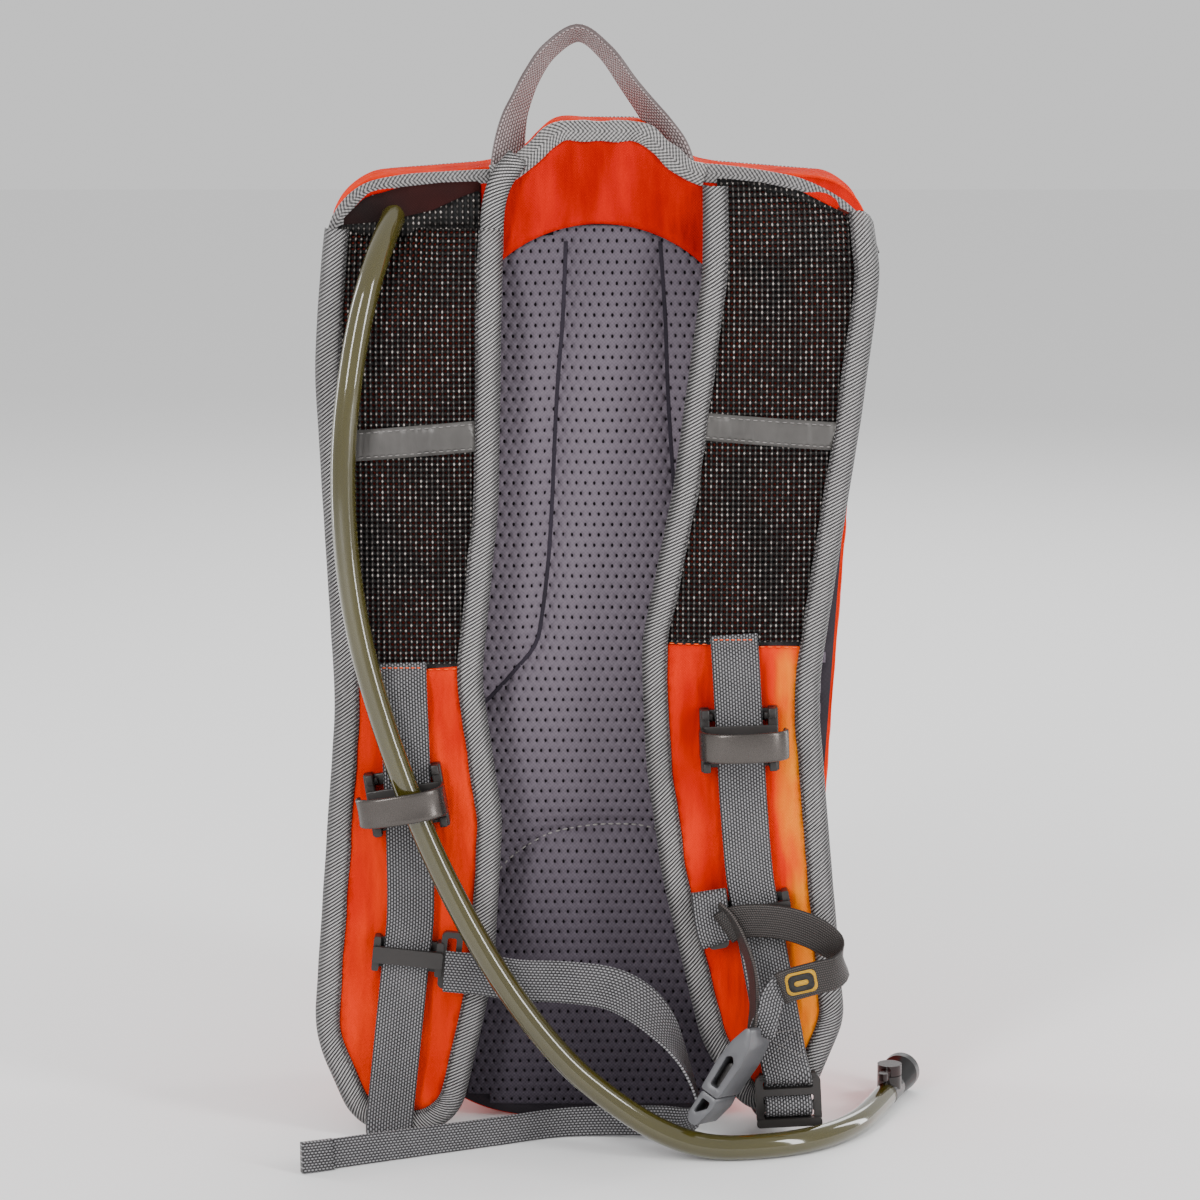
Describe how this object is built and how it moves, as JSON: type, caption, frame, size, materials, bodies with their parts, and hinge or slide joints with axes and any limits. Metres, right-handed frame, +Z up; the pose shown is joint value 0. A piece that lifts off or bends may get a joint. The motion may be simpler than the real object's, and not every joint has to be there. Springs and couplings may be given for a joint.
{
  "type": "hunting backpack",
  "caption": "Slim hydration backpack with padded harness, drinking hose and bite valve, sternum strap with side-release buckle, grab handle, arched zip and front pocket.",
  "frame": {"origin": "on the ground under the bag, at the middle of the base's harness-side edge", "axes": "+Z up along the back, harness side towards -Y, +X to the viewer's right when looking at the harness"},
  "size_m": [0.2651, 0.1679, 0.4736],
  "materials": {
    "orange_cloth": "plain weave, satin",
    "lining": "plain weave, matt",
    "foam": "matt",
    "panel_mesh": "perforated knit, matt",
    "black_mesh": "open spacer mesh",
    "binding_tape": "herringbone tape",
    "webbing": "ribbed webbing",
    "reflective_tape": "satin reflective",
    "dark_hardware": "satin moulded",
    "buckle_plastic": "satin moulded",
    "hose": "translucent gloss",
    "valve_plastic": "satin moulded",
    "bite_rubber": "matt",
    "bladder_film": "translucent film",
    "zip_tape": "woven tape and coil",
    "zip_metal": "satin",
    "zip_pull": "moulded, matt",
    "shock_cord": "braided"
  },
  "bodies": {
    "root": {"back_panel_foam": "foam", "back_panel_mesh": "panel_mesh", "cord_loops": "webbing", "drink_tube": "hose", "filler_ring": "valve_plastic", "front_pocket": "orange_cloth", "front_zip": "zip_tape", "gusset": "orange_cloth", "handle_anchors": "webbing", "inner_tube": "hose", "left_adjuster_web": "webbing", "left_strap_binding": "binding_tape", "left_strap_cloth": "orange_cloth", "left_strap_core": "foam", "left_strap_mesh": "black_mesh", "left_strap_reflector": "reflective_tape", "left_strap_webbing": "webbing", "main_zip": "zip_tape", "mouthpiece": "bite_rubber", "outer_piping": "binding_tape", "outer_wall": "orange_cloth", "outlet_fitting": "valve_plastic", "port_elbow": "valve_plastic", "rear_wall": "orange_cloth", "reservoir_bladder": "bladder_film", "reservoir_hanger": "webbing", "reservoir_sleeve": "lining", "right_adjuster_web": "webbing", "right_strap_binding": "binding_tape", "right_strap_cloth": "orange_cloth", "right_strap_core": "foam", "right_strap_mesh": "black_mesh", "right_strap_reflector": "reflective_tape", "right_strap_webbing": "webbing", "shock_cord": "shock_cord", "top_edge_binding": "binding_tape", "valve_body": "valve_plastic", "valve_collar": "valve_plastic", "yoke_panel": "orange_cloth", "yoke_tapes": "binding_tape"},
    "grab_handle": {"grab_handle": "webbing"},
    "left_clip": {"left_hose_clip": "dark_hardware"},
    "right_clip": {"right_hose_clip": "dark_hardware"},
    "sternum_left": {"left_sternum_slider": "dark_hardware", "left_sternum_web": "webbing", "male_buckle": "buckle_plastic", "strap_tail": "webbing"},
    "sternum_right": {"right_sternum_slider": "dark_hardware", "right_sternum_web": "webbing"},
    "buckle_female": {"female_buckle": "buckle_plastic"},
    "left_lock": {"left_ladder_lock": "dark_hardware"},
    "right_lock": {"right_ladder_lock": "dark_hardware"},
    "valve_lever": {"shutoff_lever": "valve_plastic"},
    "reservoir_cap": {"filler_cap": "valve_plastic"},
    "main_slider": {"main_zip_slider": "zip_metal"},
    "main_pull": {"main_zip_pull": "zip_pull"},
    "pocket_slider": {"front_zip_slider": "zip_metal"},
    "pocket_pull": {"front_zip_pull": "zip_pull"},
    "lock_body": {"cord_lock": "dark_hardware"},
    "lock_button": {"cord_lock_button": "dark_hardware"}
  },
  "joints": [
    {"name": "handle_fold", "type": "hinge", "parent": "root", "child": "grab_handle", "pos_m": [0, 0.009, 0.433], "axis": [1, 0, 0], "range_deg": [-60, 60]},
    {"name": "left_clip_slide", "type": "slide", "parent": "root", "child": "left_clip", "axis": [-0.035, 0, 0.9994], "range_m": [-0.019, 0.036], "deforming": ["drink_tube"]},
    {"name": "right_clip_slide", "type": "slide", "parent": "root", "child": "right_clip", "axis": [-0.0603, 0, 0.9982], "range_m": [-0.036, 0.023]},
    {"name": "sternum_left_slide", "type": "slide", "parent": "root", "child": "sternum_left", "axis": [0, 0, 1], "range_m": [-0.003, 0.006], "deforming": ["strap_tail", "left_sternum_web"]},
    {"name": "sternum_right_slide", "type": "slide", "parent": "root", "child": "sternum_right", "axis": [0, 0, 1], "range_m": [-0.003, 0.006], "deforming": ["right_sternum_web"]},
    {"name": "buckle_release", "type": "slide", "parent": "sternum_right", "child": "buckle_female", "axis": [0.5105, 0, 0.8599], "range_m": [0, 0.022], "deforming": ["right_sternum_web"]},
    {"name": "left_lock_tilt", "type": "hinge", "parent": "root", "child": "left_lock", "pos_m": [-0.084, -0.0217, 0.027], "axis": [1, 0, 0], "range_deg": [0, 30], "deforming": ["left_adjuster_web"]},
    {"name": "right_lock_tilt", "type": "hinge", "parent": "root", "child": "right_lock", "pos_m": [0.07998, -0.0393, 0.02919], "axis": [0.9986, 0, 0.0523], "range_deg": [-50, 0], "deforming": ["right_adjuster_web"]},
    {"name": "lever_turn", "type": "hinge", "parent": "root", "child": "valve_lever", "pos_m": [0.12791, 0.01651, 0.015], "axis": [0, 0, 1], "range_deg": [0, 90]},
    {"name": "cap_turn", "type": "hinge", "parent": "root", "child": "reservoir_cap", "pos_m": [0.006, 0.04, 0.292], "axis": [0, 1, 0], "range_deg": [0, 90]},
    {"name": "main_zip_run", "type": "hinge", "parent": "root", "child": "main_slider", "pos_m": [0, 0.05845, 0.28559], "axis": [0, 0.9979, 0.0648], "range_deg": [-150, 0]},
    {"name": "main_pull_lift", "type": "hinge", "parent": "main_slider", "child": "main_pull", "pos_m": [0.08412, 0.06168, 0.30372], "axis": [0.9781, -0.0135, 0.2075], "range_deg": [0, 120]},
    {"name": "pocket_zip_run", "type": "slide", "parent": "root", "child": "pocket_slider", "axis": [1, 0, 0], "range_m": [0, 0.1]},
    {"name": "pocket_pull_lift", "type": "hinge", "parent": "pocket_slider", "child": "pocket_pull", "pos_m": [-0.051, 0.069, 0.19108], "axis": [0, -0.0648, 0.9979], "range_deg": [0, 120]},
    {"name": "cord_lock_run", "type": "slide", "parent": "root", "child": "lock_body", "axis": [0, -0.0648, 0.9979], "range_m": [0, 0.012]},
    {"name": "cord_lock_press", "type": "slide", "parent": "lock_body", "child": "lock_button", "axis": [0, -0.0648, 0.9979], "range_m": [-0.001, 0], "stiffness_N_per_m": 400}
  ],
  "couplings": [
    {"joint": "sternum_right_slide", "follows": "sternum_left_slide", "ratio": 1}
  ]
}
